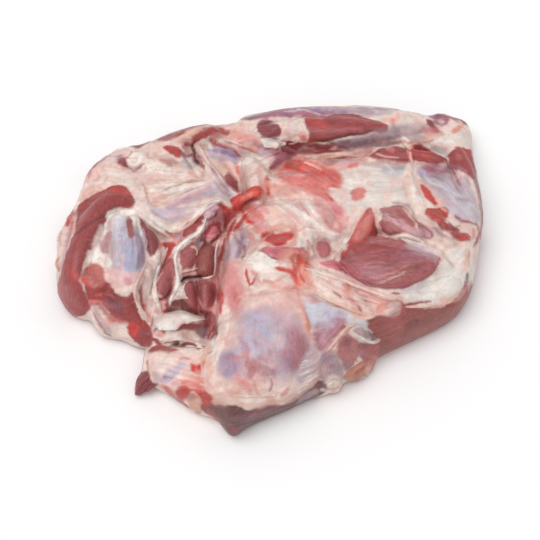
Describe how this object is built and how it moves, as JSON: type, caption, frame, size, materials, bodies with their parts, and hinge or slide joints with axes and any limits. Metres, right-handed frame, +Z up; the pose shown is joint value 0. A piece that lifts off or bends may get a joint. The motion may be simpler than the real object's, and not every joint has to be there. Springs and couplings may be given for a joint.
{
  "type": "raw boneless veal shoulder",
  "caption": "Boned-out raw veal shoulder laid open on a flat base: rounded muscles, fat and membrane around an open hollow where the bones lay.",
  "frame": {"origin": "on the table, under the middle of the meat's bounding box", "axes": "+Z up from the table, through the side that held the bones; +X along the longest side, to the right as the picture shows it; +Y away from the viewer"},
  "size_m": [0.4506, 0.4032, 0.0881],
  "materials": {
    "raw_veal": "moist raw meat: red muscle with cream fat and pale bluish membrane, soft sheen"
  },
  "bodies": {
    "root": {"veal_shoulder": "raw_veal"}
  },
  "joints": []
}
